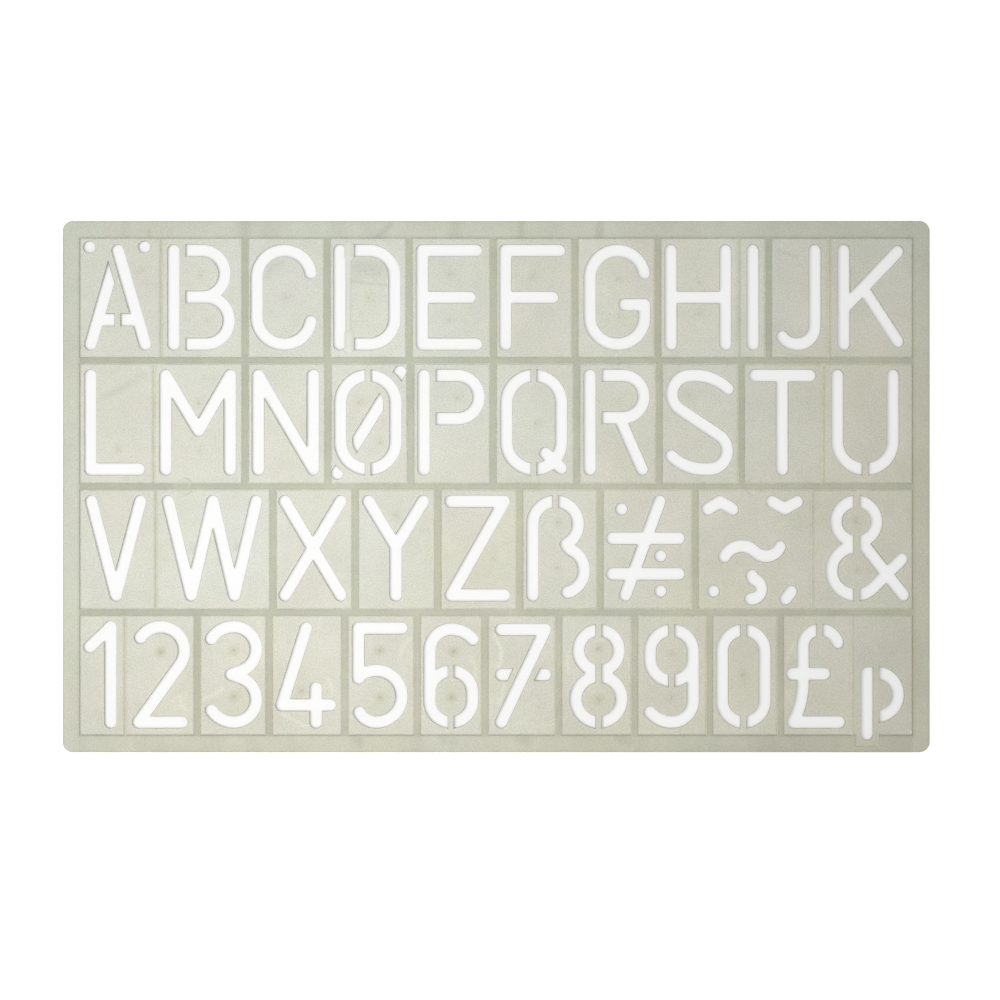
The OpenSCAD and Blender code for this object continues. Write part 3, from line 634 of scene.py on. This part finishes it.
def touching(bm, node, search, owners):
    """The faces of a node that lie against a neighbour."""
    covered, total = {}, {}
    for loops in bm.calc_loop_triangles():
        a, b, c = (loop.vert.co for loop in loops)
        face = loops[0].face
        area = ((b - a).cross(c - a)).length
        hits = search.find_nearest_range((a + b + c) / 3, TOUCH)
        held = any(owners[i] != node and normal.dot(face.normal) < OPPOSITE for _, normal, i, _ in hits)
        total[face] = total.get(face, 0) + area
        covered[face] = covered.get(face, 0) + area * held
    return {face for face in total if covered[face] > total[face] / 2}


def has_room(edge, low, high, radius):
    """Whether an edge lies far enough inside the sides of a box to be rounded."""
    for place in (vertex.co for vertex in edge.verts):
        gap = min(place.x - low.x, high.x - place.x, place.y - low.y, high.y - place.y)
        if gap < radius / ROUND_SHARE:
            return False
    return True


def open_edges(bm, node, radius, held):
    """The sharp level edges of a node's open upright faces."""
    low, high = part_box(node)
    return [
        edge for edge in bm.edges
        if len(edge.link_faces) == 2
        and edge.calc_face_angle() > SHARP_ANGLE
        and not held.intersection(edge.link_faces)
        and abs(edge.verts[0].co.z - edge.verts[1].co.z) < WELD
        and any(abs(face.normal.z) < UPRIGHT for face in edge.link_faces)
        and (node not in PANELS or has_room(edge, low, high, radius))
    ]


def softened(node, radius, material, slot, search, owners):
    """A copy of a node whose open edges are rounded, and which stands for it."""
    bm = bmesh.new()
    bm.from_mesh(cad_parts[node].data)
    bmesh.ops.remove_doubles(bm, verts=bm.verts, dist=WELD)
    bmesh.ops.dissolve_limit(bm, angle_limit=FLAT_ANGLE, verts=bm.verts, edges=bm.edges)
    if radius:
        edges = open_edges(bm, node, radius, touching(bm, node, search, owners))
        bmesh.ops.bevel(bm, geom=edges, offset=radius, segments=2, profile=0.5,
                        affect="EDGES", clamp_overlap=False, loop_slide=False)
    for edge in bm.edges:
        edge.smooth = len(edge.link_faces) == 2 and edge.calc_face_angle() < SHARP_ANGLE
    for face in bm.faces:
        face.smooth = True
    mesh = bpy.data.meshes.new("moulded_" + node)
    bm.to_mesh(mesh)
    bm.free()
    mesh.materials.append(material)
    piece = bpy.data.objects.new("moulded_" + node, mesh)
    bpy.context.scene.collection.objects.link(piece)
    weighted = piece.modifiers.new("even_normals", "WEIGHTED_NORMAL")
    weighted.keep_sharp = True
    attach(piece, "root")
    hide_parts(node)


def build_stencil():
    faces = all_faces()
    for node in BORDERS:
        extras = [upright_flow, border_painted_shade, *marks_and_painted_shade_on(node)]
        material = plastic(node + "_plastic", BORDER_LOOK, extras)
        softened(node, RIM_ROUND, material, "border_plastic", *faces)
    for node in ROW_RIBS + COLUMN_RIBS:
        extras = [rib_painted_shade_and_tone(node)] + ([thin_is_pale] if node in COLUMN_RIBS else [])
        material = plastic(node + "_plastic", RIB_LOOK, extras, panel_share=rib_share(node))
        softened(node, 0, material, "rib_plastic", *faces)
    for node in PANELS:
        depth = PIN_PAINTED_SHADES.get(node, PIN_PAINTED_SHADE)
        spots = [(point, depth) for point in pin_marks(node)]
        material = plastic(node + "_plastic", PANEL_LOOK, [*marks_and_painted_shade_on(node), panel_painted_shade(node)], spots)
        softened(node, SLOT_ROUND, material, "panel_plastic", *faces)
    softened(BEAD, 0, plastic("bead_plastic", BEAD_LOOK), "bead_plastic", *faces)


def seen_share(tree):
    """1 for the rays that show a pale ground: from the camera, in gloss and through glass."""
    path = tree.add("ShaderNodeLightPath")
    rays = ("Is Camera Ray", "Is Glossy Ray", "Is Transmission Ray")
    return tree.fold("MAXIMUM", [path.outputs[name] for name in rays])


def build_floor():
    """Pale paper, whose glow is lower under the sheet, where it shows only in the slots."""
    bpy.ops.mesh.primitive_plane_add(size=FLOOR_SIZE, location=(0, 0, 0))
    floor = bpy.context.object
    floor.name = "floor"
    material = bpy.data.materials.new("floor_paper")
    material.use_nodes = True
    tree = Tree(material.node_tree)
    paper = tree.add("ShaderNodeBsdfDiffuse")
    paper.inputs["Color"].default_value = (FLOOR_GREY, FLOOR_GREY, FLOOR_GREY, 1)
    strength = tree.span(tree.inside_box(*cad_box), *GLOW_EDGE, GROUND_GLOW, SLOT_GLOW, "LINEAR")
    glow = tree.add("ShaderNodeEmission")
    glow.inputs["Color"].default_value = (*PLAIN, 1)
    tree.feed(glow.inputs["Strength"], tree.math("MULTIPLY", seen_share(tree), strength))
    both = tree.add("ShaderNodeAddShader")
    tree.feed(both.inputs[0], paper.outputs[0])
    tree.feed(both.inputs[1], glow.outputs[0])
    tree.finish("ShaderNodeOutputMaterial", both.outputs[0])
    floor.data.materials.append(material)


def build_world():
    """Even light from all round, before a white backdrop."""
    world = bpy.data.worlds.new("studio")
    bpy.context.scene.world = world
    world.use_nodes = True
    tree = Tree(world.node_tree)
    mix = tree.add("ShaderNodeMixShader")
    tree.feed(mix.inputs[0], seen_share(tree))
    for socket, strength in zip(mix.inputs[1:], (WORLD_LIGHT, BACKDROP)):
        background = tree.add("ShaderNodeBackground")
        background.inputs["Color"].default_value = (*PLAIN, 1)
        background.inputs["Strength"].default_value = strength
        tree.feed(socket, background.outputs[0])
    tree.finish("ShaderNodeOutputWorld", mix.outputs[0])


def build_lamp():
    lamp = bpy.data.lights.new("key", "AREA")
    lamp.shape = "DISK"
    lamp.size = KEY_SIZE
    lamp.energy = KEY_POWER
    holder = bpy.data.objects.new("key", lamp)
    holder.location = KEY_AT
    holder.visible_camera = False
    holder.rotation_euler = (-Vector(KEY_AT)).to_track_quat("-Z", "Y").to_euler()
    bpy.context.scene.collection.objects.link(holder)


def build_camera():
    camera = bpy.data.cameras.new("camera")
    camera.sensor_width = SENSOR
    camera.lens = LENS
    camera.clip_start = 0.01
    camera.clip_end = 20
    holder = bpy.data.objects.new("camera", camera)
    holder.location = CAMERA_AT
    bpy.context.scene.collection.objects.link(holder)
    bpy.context.scene.camera = holder


build_camera()
build_stencil()
build_floor()
build_world()
build_lamp()
bpy.context.scene.view_settings.view_transform = "Standard"

bpy.context.view_layer.update()
